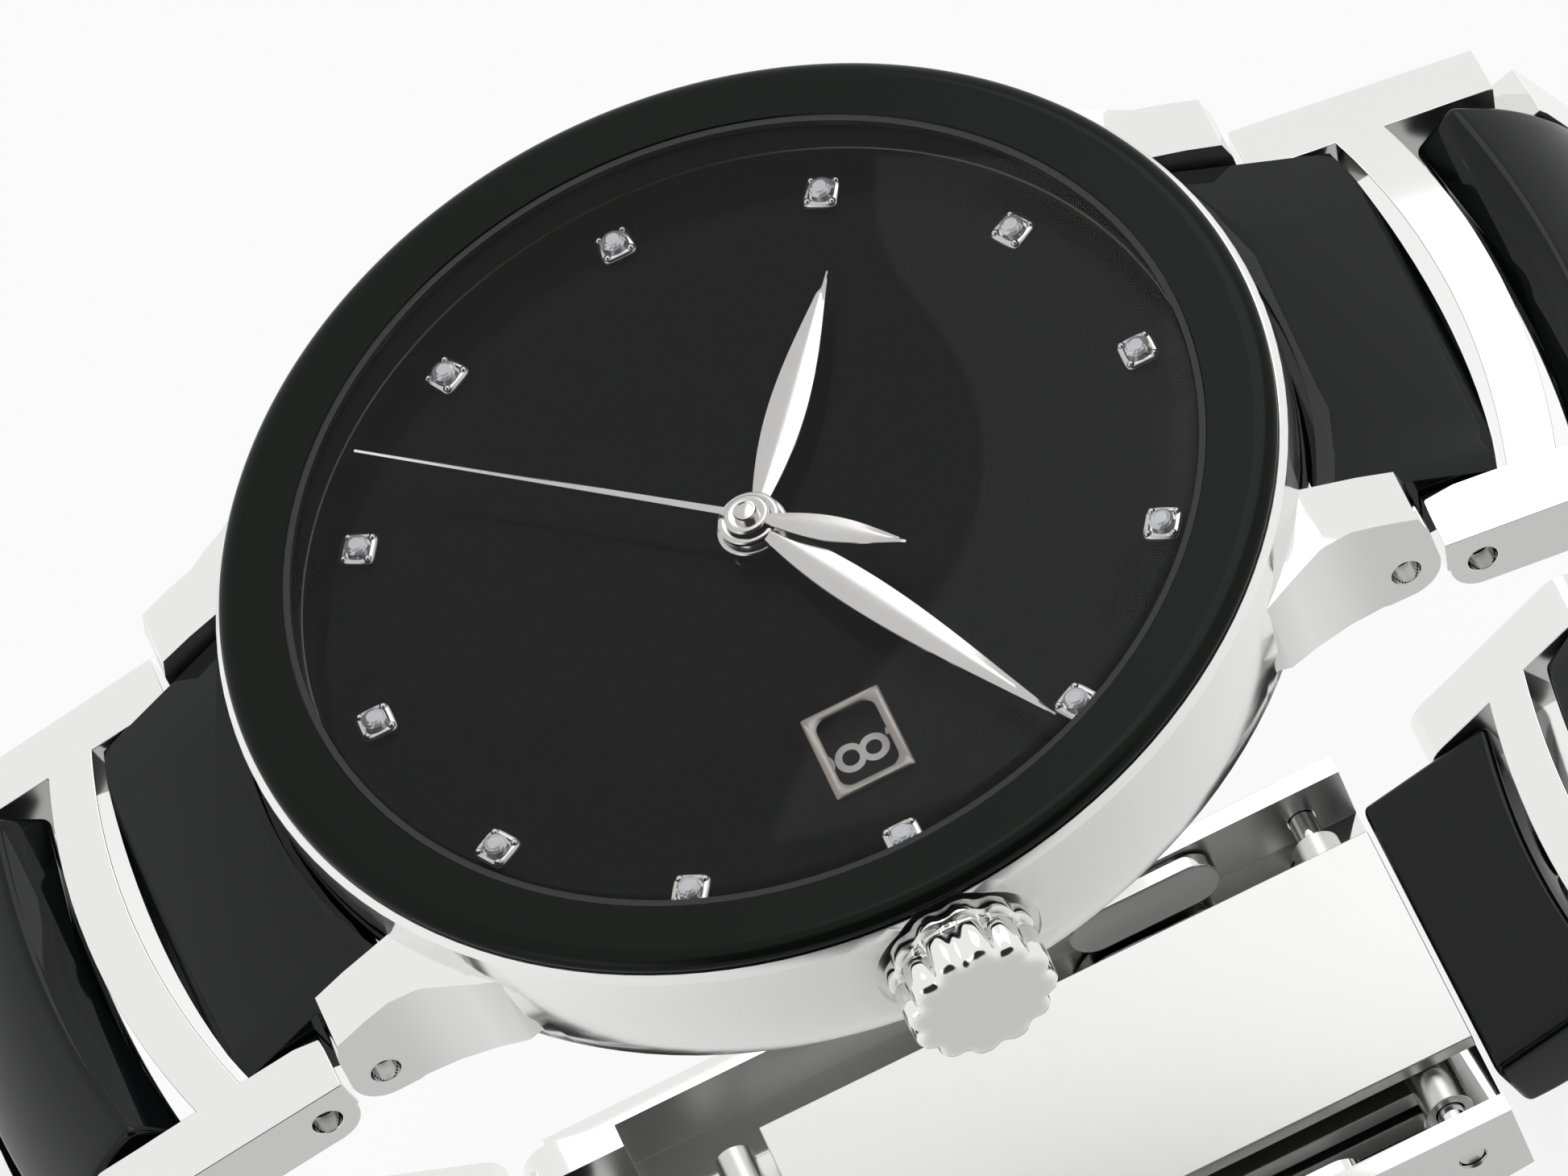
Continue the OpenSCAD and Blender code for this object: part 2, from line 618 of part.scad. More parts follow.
module case_screws() {
  color("silver") for (a = clamp_angles) rotate(a) translate([(plate_r + chamber_r) / 2, 0, 0])
    difference() {
      union() {
        rod(screw_r, bridge_low - 0.3, bridge_low - seat);
        rod(screw_r * 0.6, bridge_low - seat, bridge_low + 1.1);
      }
      translate([-1, -0.09, bridge_low - 0.4]) cube([2, 0.18, 0.25]);
    }
}

// ---------- case back ----------

module case_back() {
  color("silver") difference() {
    turned([[11.95, 0], [15.6, 0], [16.6, 0.25], [16.9, 1], [chamber_r - 0.05, 1],
            [chamber_r - 0.05, 1.4], [13.6, 1.4], [13.6, 0.95], [11.4, 0.95],
            [11.4, back_t - 0.12], [11.95, back_t - 0.12]]);
    for (a = [0:60:300]) rotate(a) translate([14.3, -0.6, -eps]) cube([1.6, 1.2, 0.35]);
  }
}
module back_glass() {
  color([0.8, 0.85, 0.9, 0.3]) rod(11.93, 0, back_t - 0.14);
}
module back_gasket() {
  color("black") tube(13.55, 13.2, 0.97, 1.35);
}

// ---------- bracelet ----------

// Region between two bowed ends, in plan: from front to rear, each bowing away from the case
module bowed_band(front, rear, half) {
  intersection() {
    translate([-half, front - 0.5]) square([2 * half, rear - front + band_bulge + 1]);
    difference() {
      translate([0, rear + band_bulge - bow_r]) circle(r = bow_r, $fn = 180);
      translate([0, front + band_bulge - bow_r]) circle(r = bow_r, $fn = 180);
    }
  }
}
module crosswise_dome(top) {
  translate([0, -10, top - band_crown_r]) rotate([-90, 0, 0]) cylinder(r = band_crown_r, h = 40, $fn = 180);
}
module link_profile() {
  intersection() {
    union() {
      circle(r = link_end_r);
      translate([link_pitch, 0]) circle(r = link_end_r);
      translate([0, -link_end_r]) square([link_pitch, link_end_r + 1]);
      translate([-link_end_r - link_over, 0])
        square([link_pitch + 2 * (link_end_r + link_over), link_top + 1]);
    }
    translate([link_pitch / 2, link_top - link_dome_r]) circle(r = link_dome_r, $fn = 180);
  }
}
module steel_link(k) {
  half = half_w(k);
  slot = slot_w(k);
  end = link_end_r + link_over + 1;
  color("silver") difference() {
    intersection() {
      side_solid(half) link_profile();
      crosswise_dome(link_top);
      translate([0, 0, -3]) linear_extrude(6) union() {
        bowed_band(slot_front, slot_front + bridge_w, slot + 0.5);
        for (s = [0, 1]) mirror([s, 0]) polygon([[slot, -end], [half, -end],
          [half - band_taper / 2, link_pitch + end], [slot, link_pitch + end]]);
      }
    }
    for (s = [0, link_pitch]) translate([0, s, 0]) x_rod(pin_r + pin_gap, -half - 1, half + 1);
  }
  color("dimgray") for (s = [0, link_pitch]) translate([0, s, 0])
    x_rod(pin_r, -half + pin_recess, half - pin_recess);
}
module centre_profile(front, rear) {
  mid = centre_pitch / 2;
  intersection() {
    translate([front, centre_bottom]) square([rear - front, centre_top - centre_bottom]);
    translate([mid, centre_top - centre_dome_r]) circle(r = centre_dome_r, $fn = 180);
  }
}
module piece_bores(half) {
  for (s = [0, centre_pitch]) translate([0, s, 0]) x_rod(pin_r + pin_gap, -half - 1, half + 1);
}
module centre_piece(k) {
  half = piece_w(k);
  front = -centre_front;
  rear = centre_pitch + centre_rear;
  tail = k == 5 ? 0 : band_bulge;
  color([0.03, 0.03, 0.035]) difference() {
    intersection() {
      side_solid(half) centre_profile(front, rear + tail);
      crosswise_dome(centre_top);
      translate([0, 0, -3]) linear_extrude(6) intersection() {
        bowed_band(front, rear + (k == 5 ? 5 : 0), half);
        translate([-half, front - 1]) square([2 * half, rear - front + tail + 1]);
      }
    }
    piece_bores(half);
  }
}
// The piece next to the case: its top follows the case and a tongue under it holds the lug pin
module first_piece(side) {
  half = piece_w(0);
  color([0.03, 0.03, 0.035]) difference() {
    on_segment(0, side) difference() {
      intersection() {
        side_solid(half) intersection() {
          translate([-4, centre_bottom]) square([centre_pitch + centre_rear + band_bulge + 4, 4]);
          translate([centre_pitch / 2, centre_top - centre_dome_r * 2]) circle(r = centre_dome_r * 2, $fn = 180);
        }
        crosswise_dome(centre_top);
        translate([0, 0, -3]) linear_extrude(6) bowed_band(-8, centre_pitch + centre_rear, half);
      }
      piece_bores(half);
    }
    rod(case_r + 0.25, 4.1, 12);
    mirror([0, side < 0 ? 1 : 0, 0]) translate([-20, -1, -5]) cube([40, lug_pin_y - 1.6 + 1, 20]);
  }
}

// ---------- clasp ----------

module clasp_cover() {
  half = clasp_half;
  color("silver") on_segment(11, -1) difference() {
    intersection() {
      union() {
        side_solid(half) union() {
          circle(r = link_end_r);
          translate([0, cover_lip]) square([cover_end, cover_top - cover_lip]);
          translate([-link_end_r, 0]) square([link_end_r + 1, floor_out]);
        }
      }
      side_solid(half + 1) translate([cover_mid, cover_top - cover_dome_r]) circle(r = cover_dome_r, $fn = 180);
    }
    // channel for the blades, open to the wrist, and the hinge slot for the last ceramic piece
    translate([-half + cover_wall, 2.6, -5]) cube([2 * (half - cover_wall), cover_end, floor_in + 5]);
    translate([-cover_ear, -5, -5]) cube([2 * cover_ear, 5 + 1.7, 15]);
    translate([-cover_ear, -5, -5]) cube([2 * cover_ear, 5 + 2.7, floor_in + 5]);
    x_rod(pin_r + pin_gap, -half - 1, half + 1);
    translate([0, blade_pin_s, blade_pin_h]) x_rod(pin_r + pin_gap, -half - 1, half + 1);
    translate([0, button_s, button_h]) side_solid(half + 1) stadium(button_w, button_r + button_gap);
  }
  color("dimgray") on_segment(11, -1) {
    x_rod(pin_r, -half + pin_recess, half - pin_recess);
    translate([0, blade_pin_s, blade_pin_h]) x_rod(pin_r, -half + 0.2, half - 0.2);
  }
}
module stadium(w, r) {
  union() {
    for (s = [-1, 1]) translate([s * (w / 2 - button_r), 0]) circle(r = r);
    translate([-w / 2 + button_r, -r]) square([w - 2 * button_r, 2 * r]);
  }
}
module button(side) {
  wall_in = clasp_half - cover_wall;
  color("silver") on_segment(11, -1) mirror([side < 0 ? 1 : 0, 0, 0]) translate([0, button_s, button_h]) {
    translate([wall_in - 0.1, 0, 0]) rotate([90, 0, 90])
      linear_extrude(cover_wall + button_out) stadium(button_w, button_r);
    translate([wall_in - 0.75, 0, 0]) rotate([90, 0, 90])
      linear_extrude(0.65) stadium(button_w + 1, button_r + 0.3);
  }
}
module button_left() { button(-1); }
module button_right() { button(1); }
module blade_outer() {
  color("lightgray") on_segment(11, -1) difference() {
    union() {
      translate([-blade_half, fold_s + 1, blade_pin_h]) cube([2 * blade_half, blade_pin_s - fold_s - 1, blade_t]);
      translate([0, blade_pin_s, blade_pin_h]) x_rod(barrel_r, -blade_half - 1.5, blade_half + 1.5);
      for (s = [-1, 1]) translate([s * (blade_half - 1.1) - 1.1, 0, 0]) {
        translate([0, fold_s, fold_h]) x_rod(knuckle_r, 0, 2.2);
        translate([0, fold_s, blade_pin_h]) cube([2.2, 1.5, blade_t * 0.8]);
      }
    }
    translate([0, blade_pin_s, blade_pin_h]) x_rod(pin_r + pin_gap, -9, 9);
    translate([0, fold_s, fold_h]) x_rod(pin_r * 0.7 + seat, -9, 9);
  }
  color("dimgray") on_segment(11, -1) translate([0, fold_s, fold_h])
    x_rod(pin_r * 0.7, -blade_half + 0.1, blade_half - 0.1);
}
module blade_inner() {
  inner = blade_half - 2.4;
  tip = cover_end - 0.05;
  thick = blade_t * 0.8;
  low = blade_pin_h - barrel_r - 0.06 - thick;
  color("lightgray") on_segment(11, -1) difference() {
    union() {
      translate([0, fold_s, fold_h]) x_rod(knuckle_r - 0.02, -inner, inner);
      translate([-inner, fold_s, low]) cube([2 * inner, 2, thick]);
      translate([-blade_half, fold_s + 1.3, low]) cube([2 * blade_half, tip - fold_s - 1.3, thick]);
    }
    translate([0, fold_s, fold_h]) x_rod(pin_r * 0.7 + pin_gap, -9, 9);
  }
}

// ---------- nodes ----------

case_body();
bezel();
crystal();
crystal_gasket();
flange_ring();
dial();
marker_settings();
diamonds();
date_frame();
date_ring();
hour_hand();
minute_hand();
seconds_hand();
crown();
winding_stem();
movement_holder();
main_plate();
barrel();
great_wheel();
third_wheel();
fourth_wheel();
escape_wheel();
pallet_fork();
balance_wheel();
train_bridge();
balance_cock();
rotor();
rotor_bearing();
case_screws();
case_back();
back_glass();
back_gasket();
lug_pins();
first_piece(1);  // centre_12_0
on_segment(2, 1) centre_piece(1);  // centre_12_1
on_segment(4, 1) centre_piece(2);  // centre_12_2
on_segment(6, 1) centre_piece(3);  // centre_12_3
on_segment(8, 1) centre_piece(4);  // centre_12_4
on_segment(10, 1) centre_piece(5);  // centre_12_5
on_segment(1, 1) steel_link(1);  // link_12_1
on_segment(3, 1) steel_link(2);  // link_12_2
on_segment(5, 1) steel_link(3);  // link_12_3
on_segment(7, 1) steel_link(4);  // link_12_4
on_segment(9, 1) steel_link(5);  // link_12_5
first_piece(-1);  // centre_6_0
on_segment(2, -1) centre_piece(1);  // centre_6_1
on_segment(4, -1) centre_piece(2);  // centre_6_2
on_segment(6, -1) centre_piece(3);  // centre_6_3
on_segment(8, -1) centre_piece(4);  // centre_6_4
on_segment(10, -1) centre_piece(5);  // centre_6_5
on_segment(1, -1) steel_link(1);  // link_6_1
on_segment(3, -1) steel_link(2);  // link_6_2
on_segment(5, -1) steel_link(3);  // link_6_3
on_segment(7, -1) steel_link(4);  // link_6_4
on_segment(9, -1) steel_link(5);  // link_6_5
clasp_cover();
blade_outer();
blade_inner();
button_left();
button_right();
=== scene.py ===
"""A wristwatch with a stone-set dial, a date window and a bracelet of steel and black ceramic."""

from __future__ import annotations

import json
import logging
import math
from dataclasses import dataclass, field
from enum import Enum
from typing import Callable, Iterable

import bmesh
import bpy
import numpy as np
from mathutils import Matrix, Vector

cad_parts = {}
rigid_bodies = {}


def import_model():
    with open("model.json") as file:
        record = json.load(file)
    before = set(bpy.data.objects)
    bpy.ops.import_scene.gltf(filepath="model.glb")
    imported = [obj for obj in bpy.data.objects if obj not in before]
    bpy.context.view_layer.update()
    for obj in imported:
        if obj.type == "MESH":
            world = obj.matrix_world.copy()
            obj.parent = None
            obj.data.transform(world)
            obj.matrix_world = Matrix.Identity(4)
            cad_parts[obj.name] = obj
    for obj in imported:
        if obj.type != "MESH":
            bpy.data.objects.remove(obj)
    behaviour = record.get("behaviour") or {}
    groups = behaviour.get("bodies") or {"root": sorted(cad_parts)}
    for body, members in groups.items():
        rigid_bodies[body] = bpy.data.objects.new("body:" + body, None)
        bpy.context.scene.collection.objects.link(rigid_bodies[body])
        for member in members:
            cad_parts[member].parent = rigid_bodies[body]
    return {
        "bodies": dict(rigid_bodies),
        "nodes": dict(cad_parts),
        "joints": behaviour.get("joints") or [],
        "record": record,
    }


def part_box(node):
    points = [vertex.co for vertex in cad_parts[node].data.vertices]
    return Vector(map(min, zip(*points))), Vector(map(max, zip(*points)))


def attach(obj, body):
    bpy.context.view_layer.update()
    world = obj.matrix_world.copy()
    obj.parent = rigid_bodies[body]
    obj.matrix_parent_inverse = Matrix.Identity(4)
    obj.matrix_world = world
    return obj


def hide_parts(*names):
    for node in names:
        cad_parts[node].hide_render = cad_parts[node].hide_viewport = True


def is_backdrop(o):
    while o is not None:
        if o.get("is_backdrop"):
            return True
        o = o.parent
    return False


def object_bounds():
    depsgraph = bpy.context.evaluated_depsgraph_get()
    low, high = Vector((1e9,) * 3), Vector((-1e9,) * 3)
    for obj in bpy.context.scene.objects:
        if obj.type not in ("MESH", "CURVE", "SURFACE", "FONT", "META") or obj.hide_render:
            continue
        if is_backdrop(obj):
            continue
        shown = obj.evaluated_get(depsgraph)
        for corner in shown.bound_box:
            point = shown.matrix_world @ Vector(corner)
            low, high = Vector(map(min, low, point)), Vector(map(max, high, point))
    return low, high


log = logging.getLogger("watch")
MM = 0.001
HALF_TURN = math.pi
FULL_TURN = 2 * math.pi


# ---------- shader maths ----------


class Value:
    """A shader socket that carries one number, with Python's operators."""

    def __init__(self, shader: "Shader", socket: bpy.types.NodeSocket | None) -> None:
        """Keeps the shader that owns the socket and the socket itself."""
        self.shader = shader
        self.socket = socket

    def _math(self, operation: str, *terms: "Value | float") -> "Value":
        """Adds one Math node and returns its result."""
        inputs = {i: t for i, t in enumerate(terms)}
        return self.shader.node("ShaderNodeMath", {"operation": operation}, inputs)

    def __add__(self, other: "Value | float") -> "Value":
        """Returns self + other."""
        return self._math("ADD", self, other)

    __radd__ = __add__

    def __mul__(self, other: "Value | float") -> "Value":
        """Returns self * other."""
        return self._math("MULTIPLY", self, other)

    __rmul__ = __mul__

    def __sub__(self, other: "Value | float") -> "Value":
        """Returns self - other."""
        return self._math("SUBTRACT", self, other)

    def __rsub__(self, other: "Value | float") -> "Value":
        """Returns other - self."""
        return self._math("SUBTRACT", other, self)

    def __pow__(self, other: "Value | float") -> "Value":
        """Returns self to the power of other."""
        return self._math("POWER", self, other)

    def __abs__(self) -> "Value":
        """Returns the size of self without its sign."""
        return self._math("ABSOLUTE", self)

    def clamped(self) -> "Value":
        """Returns self held between 0 and 1."""
        return self._math("MAXIMUM", self._math("MINIMUM", self, 1.0), 0.0)


Term = Value | float


class Shader:
    """Builds the nodes of one material or world."""

    def __init__(self, tree: bpy.types.NodeTree) -> None:
        """Takes an emptied node tree."""
        self.tree = tree
        tree.nodes.clear()

    def node(
        self, kind: str, settings: dict | None = None, inputs: dict | None = None, out: int | str = 0
    ) -> Value:
        """Adds one node.

        Args:
            kind: the node's type.
            settings: its own properties, set first.
            inputs: values or links of its sockets, by name or number.
            out: which of its outputs to return.

        Returns:
            The chosen output.
        """
        made = self.tree.nodes.new(kind)
        for name, value in (settings or {}).items():
            setattr(made, name, value)
        for name, value in (inputs or {}).items():
            if isinstance(value, Value):
                self.tree.links.new(value.socket, made.inputs[name])
            else:
                made.inputs[name].default_value = value
        return Value(self, made.outputs[out] if made.outputs else None)

    def axes(self, vector: Value) -> tuple[Value, Value, Value]:
        """Splits a vector into its three numbers."""
        split = self.tree.nodes.new("ShaderNodeSeparateXYZ")
        self.tree.links.new(vector.socket, split.inputs[0])
        return tuple(Value(self, split.outputs[i]) for i in range(3))

    def noise(self, scale: tuple[float, float, float], detail: float = 3.0) -> Value:
        """Noise in the object's own coordinates, at a scale along each axis in cycles per metre."""
        place = self.node("ShaderNodeTexCoord", out="Object")
        mapped = self.node("ShaderNodeMapping", inputs={"Vector": place, "Scale": scale})
        return self.node("ShaderNodeTexNoise", inputs={"Vector": mapped, "Scale": 1.0, "Detail": detail})

    def wave(self, phase: Value) -> Value:
        """Returns half of one plus the sine of the phase."""
        return (self.node("ShaderNodeMath", {"operation": "SINE"}, {0: phase}) + 1.0) * 0.5

    def noise_of(self, along: Value) -> Value:
        """Returns noise that changes with one number only."""
        return self.node("ShaderNodeTexNoise", {"noise_dimensions": "1D"}, {"W": along, "Scale": 1.0})

    def blend(self, low: tuple, high: tuple, factor: Value) -> Value:
        """Mixes two colours by a factor."""
        mix = self.tree.nodes.new("ShaderNodeMix")
        mix.data_type = "RGBA"
        self.tree.links.new(factor.socket, mix.inputs["Factor"])
        for slot, value in ((6, low), (7, high)):
            mix.inputs[slot].default_value = (*value, 1.0)
        return Value(self, mix.outputs[2])


Colour = tuple[float, float, float]


class Grain(Enum):
    """How a finish is worked."""

    PLAIN = "plain"
    ALONG_X = "brushed along X"
    ALONG_Y = "brushed along Y"
    STRIPED = "broad stripes"
    ROUND = "circular brushing"


@dataclass(frozen=True)
class Finish:
    """One surface finish, made as a material the first time it is used."""

    name: str
    colour: Colour
    roughness: float
    metallic: float = 0.0
    coat: float = 0.0
    alpha: float = 1.0
    grain: Grain = Grain.PLAIN
    side_roughness: float = 0.0
    # share by which painted shade darkens the colour of faces turned towards X
    side_shade: float = 0.0
    mottle: float = 0.04
    ior: float = 1.5

    def material(self) -> bpy.types.Material:
        """Returns the material: a faint uneven tone, roughness that grows on faces turned towards X, and
        painted shade that darkens the colour of those faces.
        """
        known = bpy.data.materials.get(self.name)
        if known:
            return known
        made = bpy.data.materials.new(self.name)
        made.use_nodes = True
        shader = Shader(made.node_tree)
        cloud = shader.noise((400.0, 400.0, 400.0))
        dark = tuple(c * (1 - self.mottle) for c in self.colour)
        tone = shader.blend(dark, self.colour, cloud)
        rough = self.roughness + (cloud - 0.5) * 0.03
        if self.side_roughness:
            normal = shader.node("ShaderNodeNewGeometry", out="Normal")
            facing = abs(shader.axes(normal)[0]) ** 4.0
            rough = rough + facing * self.side_roughness
            # painted shade: faces turned towards X get a darker colour, standing in for the shade on the
            # sides
            painted_side_colour = tuple(c * (1 - self.side_shade) for c in self.colour)
            tone = shader.blend(self.colour, painted_side_colour, facing)
        inputs: dict = {
            "Base Color": tone,
            "Roughness": rough.clamped(),
            "Metallic": self.metallic,
            "Coat Weight": self.coat,
            "Coat Roughness": 0.03,
            "IOR": self.ior,
            "Alpha": self.alpha,
        }
        relief = self._relief(shader)
        if relief is not None:
            bump = {"Height": relief, "Strength": 0.12, "Distance": 2e-5}
            inputs["Normal"] = shader.node("ShaderNodeBump", inputs=bump)
        surface = shader.node("ShaderNodeBsdfPrincipled", inputs=inputs)
        shader.node("ShaderNodeOutputMaterial", inputs={"Surface": surface})
        return made

    def _relief(self, shader: Shader) -> Value | None:
        """Returns the height of the brushing, or nothing on a plain finish."""
        fine, coarse = 26000.0, 500.0
        if self.grain is Grain.ALONG_X:
            return shader.noise((coarse, fine, fine))
        if self.grain is Grain.ALONG_Y:
            return shader.noise((fine, coarse, fine))
        place = shader.node("ShaderNodeTexCoord", out="Object")
        x, y, z = shader.axes(place)
        if self.grain is Grain.STRIPED:
            return shader.wave((x + y * 0.4) * 2400.0)
        if self.grain is Grain.ROUND:
            radius = shader.node("ShaderNodeVectorMath", {"operation": "LENGTH"}, {0: place}, out="Value")
            return shader.noise_of(radius * fine)
        return None


# polished steel; its faces turned towards X get painted shade in their colour
STEEL = Finish(
    "polished steel", (0.88, 0.88, 0.875), 0.07, metallic=1.0, side_roughness=0.28, side_shade=0.36
)
BRUSHED = Finish("brushed steel", (0.72, 0.72, 0.71), 0.3, metallic=1.0, grain=Grain.ALONG_Y)
CERAMIC = Finish("black ceramic", (0.004, 0.0045, 0.005), 0.05, ior=1.32)
BEZEL_BLACK = Finish("bezel black", (0.0045, 0.0065, 0.005), 0.16, ior=1.22)
SAPPHIRE = Finish("clear sapphire", (0.03, 0.03, 0.03), 0.015, alpha=0.1, ior=1.6)
RUBBER = Finish("gasket black", (0.02, 0.02, 0.02), 0.6)
FLANGE = Finish("flange bronze", (0.16, 0.125, 0.105), 0.3, metallic=1.0, grain=Grain.ROUND)
LACQUER = Finish("dial lacquer", (0.004, 0.004, 0.005), 0.08, ior=1.15)
DATE_BLACK = Finish("date disc black", (0.006, 0.006, 0.0065), 0.5, ior=1.2)
NUMERAL = Finish("numeral white", (0.78, 0.76, 0.73), 0.5)
RHODIUM = Finish("rhodium", (0.86, 0.84, 0.82), 0.13, metallic=1.0)
STONE = Finish("brilliant", (0.93, 0.95, 1.0), 0.03, metallic=0.45, coat=1.0)
FRAME = Finish("frame bronze", (0.40, 0.37, 0.34), 0.3, metallic=1.0, grain=Grain.ALONG_Y)
NICKEL = Finish("nickel plate", (0.70, 0.69, 0.67), 0.24, metallic=1.0, grain=Grain.STRIPED)
GILT = Finish("gilt", (0.78, 0.60, 0.33), 0.2, metallic=1.0)
HARD = Finish("hard steel", (0.60, 0.60, 0.62), 0.15, metallic=1.0)

SLOT_FINISH: dict[str, Finish] = {
    "polished_steel": STEEL,
    "brushed_steel": BRUSHED,
    "black_ceramic": CERAMIC,
    "sapphire": SAPPHIRE,
    "gasket_black": RUBBER,
    "flange_bronze": FLANGE,
    "dial_black": LACQUER,
    "date_black": DATE_BLACK,
    "marker_rhodium": RHODIUM,
    "diamond": STONE,
    "frame_bronze": FRAME,
    "movement_plate": NICKEL,
    "brass_wheels": GILT,
    "hard_steel": HARD,
    "rotor_metal": NICKEL,
}


# ---------- shapes ----------


@dataclass
class Shape:
    """Points and faces of one piece, gathered from closed lofts, in millimetres."""

    points: list[np.ndarray] = field(default_factory=list)
    faces: list[list[int]] = field(default_factory=list)
    count: int = 0

    def add(self, points: np.ndarray, faces: Iterable[Iterable[int]]) -> None:
        """Adds points and the faces that join them."""
        self.faces.extend([[int(i) + self.count for i in f] for f in faces])
        self.points.append(points)
        self.count += len(points)

    def loft(self, rings: np.ndarray) -> None:
        """Adds a closed skin through rings of points.

        Each ring is joined to the next by quads, the last point of a ring to its first, and both ends
        are closed by triangles to the ring's middle.

        Args:
            rings: an array of stations, points round each ring, and x, y, z.
        """
        stations, around = rings.shape[:2]
        index = np.arange(stations * around).reshape(stations, around)
        nxt = np.roll(index, -1, axis=1)
        quads = np.stack([index[:-1], nxt[:-1], nxt[1:], index[1:]], axis=-1).reshape(-1, 4)
        low, high = stations * around, stations * around + 1
        first = np.stack([np.full(around, low), nxt[0], index[0]], axis=-1)
        last = np.stack([np.full(around, high), index[-1], nxt[-1]], axis=-1)
        middle = np.stack([rings[0].mean(axis=0), rings[-1].mean(axis=0)])
        points = np.concatenate([rings.reshape(-1, 3), middle])
        self.add(points, [*quads.tolist(), *first.tolist(), *last.tolist()])

    def band(self, rings: np.ndarray) -> None:
        """Adds a skin closed both ways: each ring joins the next, and the last ring joins the first."""
        index = np.arange(rings.shape[0] * rings.shape[1]).reshape(rings.shape[:2])
        nxt = np.roll(index, -1, axis=1)
        after, both = np.roll(index, -1, axis=0), np.roll(nxt, -1, axis=0)
        self.add(rings.reshape(-1, 3), np.stack([index, nxt, both, after], axis=-1).reshape(-1, 4).tolist())

    def collar(self, profile: Iterable[tuple[float, float]], around: int = 240) -> None:
        """Adds a closed outline of radius and height, carried round Z."""
        angle = np.linspace(0, FULL_TURN, around, endpoint=False)
        radius, height = (np.array(column)[:, None] for column in zip(*profile))
        flat = np.ones_like(angle)
        self.band(np.stack([radius * np.cos(angle), radius * np.sin(angle), height * flat], axis=-1))

    def turned(self, radii: Iterable[float], heights: Iterable[float], around: int = 96) -> None:
        """Adds a profile turned about Z: x and y are the radius by the angle's cosine and sine."""
        angle = np.linspace(0, FULL_TURN, around, endpoint=False)
        radius = np.asarray(list(radii))[:, None]
        height = np.asarray(list(heights))[:, None] * np.ones_like(angle)
        self.loft(np.stack([radius * np.cos(angle), radius * np.sin(angle), height], axis=-1))

    def made(
        self, name: str, change: Callable[[np.ndarray], np.ndarray] | None = None, flat: bool = False
    ) -> bpy.types.Object:
        """Returns the object, in metres, with its normals turned outwards.

        Args:
            name: the piece's name.
            change: a move or turn of all points at once.
            flat: keeps facets instead of smooth shading.
        """
        points = np.concatenate(self.points)
        points = (change(points) if change else points) * MM
        mesh = bpy.data.meshes.new(name)
        mesh.from_pydata(points.tolist(), [], self.faces)
        work = bmesh.new()
        work.from_mesh(mesh)
        bmesh.ops.remove_doubles(work, verts=work.verts, dist=1e-7)
        bmesh.ops.recalc_face_normals(work, faces=work.faces)
        work.to_mesh(mesh)
        work.free()
        mesh.shade_flat() if flat else mesh.shade_smooth()
        if not flat:
            mesh.set_sharp_from_angle(angle=math.radians(38))
        made = bpy.data.objects.new(name, mesh)
        bpy.context.scene.collection.objects.link(made)
        return made


def turn_z(points: np.ndarray, degrees: float) -> np.ndarray:
    """Turns points clockwise about Z by an angle in degrees."""
    c, s = math.cos(math.radians(degrees)), math.sin(math.radians(degrees))
    x, y, z = points.T
    return np.stack([c * x + s * y, c * y - s * x, z], axis=-1)


@dataclass
class Watch:
    """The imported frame, and how a finished piece is put on it."""

    frame: dict

    def slot_of(self, node: str) -> str:
        """The material slot that the record gives a node."""
        return next(p["material_slot"] for p in self.frame["record"]["subparts"] if p["node"] == node)

    def body_of(self, node: str) -> str:
        """The body that a node belongs to."""
        bodies = self.frame["record"]["behaviour"]["bodies"]
        return next(name for name, members in bodies.items() if node in members)

    def box(self, node: str) -> tuple[np.ndarray, np.ndarray]:
        """Lowest and highest corner of a node, in millimetres."""
        low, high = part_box(node)
        return np.array(low) / MM, np.array(high) / MM

    def place(
        self, piece: bpy.types.Object, node: str, finish: Finish | None = None, extra: bool = False
    ) -> None:
        """Gives a piece its finish, body and slot, and lets it stand for its node unless it is an extra."""
        slot = self.slot_of(node)
        piece.data.materials.clear()
        piece.data.materials.append((finish or SLOT_FINISH[slot]).material())
        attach(piece, self.body_of(node))
        if not extra:
            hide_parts(node)
        log.info("made %s on %s", piece.name, self.body_of(node))

    def refine(
        self, node: str, bevel: float, finish: Finish | None = None, angle: float = 32.0
    ) -> bpy.types.Object:
        """Replaces a node by a copy whose flat faces are whole and whose sharp edges are rounded.

        Args:
            node: the node to copy.
            bevel: width of the rounded edge, in millimetres.
            finish: the finish, or None for the slot's own.
            angle: edges sharper than this, in degrees, are rounded.

        Returns:
            The new piece.
        """
        mesh = self.frame["nodes"][node].data.copy()
        mesh.name = node + "_shell"
        work = bmesh.new()
        work.from_mesh(mesh)
        bmesh.ops.remove_doubles(work, verts=work.verts, dist=1e-6)
        bmesh.ops.dissolve_limit(work, angle_limit=math.radians(0.6), verts=work.verts, edges=work.edges)
        work.to_mesh(mesh)
        work.free()
        mesh.shade_smooth()
        mesh.set_sharp_from_angle(angle=math.radians(angle))
        piece = bpy.data.objects.new(node + "_shell", mesh)
        bpy.context.scene.collection.objects.link(piece)
        round_edges = piece.modifiers.new("rounded edges", "BEVEL")
        round_edges.width = bevel * MM
        round_edges.segments = 2
        round_edges.limit_method = "ANGLE"
        round_edges.angle_limit = math.radians(angle)
        round_edges.harden_normals = True
        self.place(piece, node, finish)
        return piece


# ---------- the watch ----------


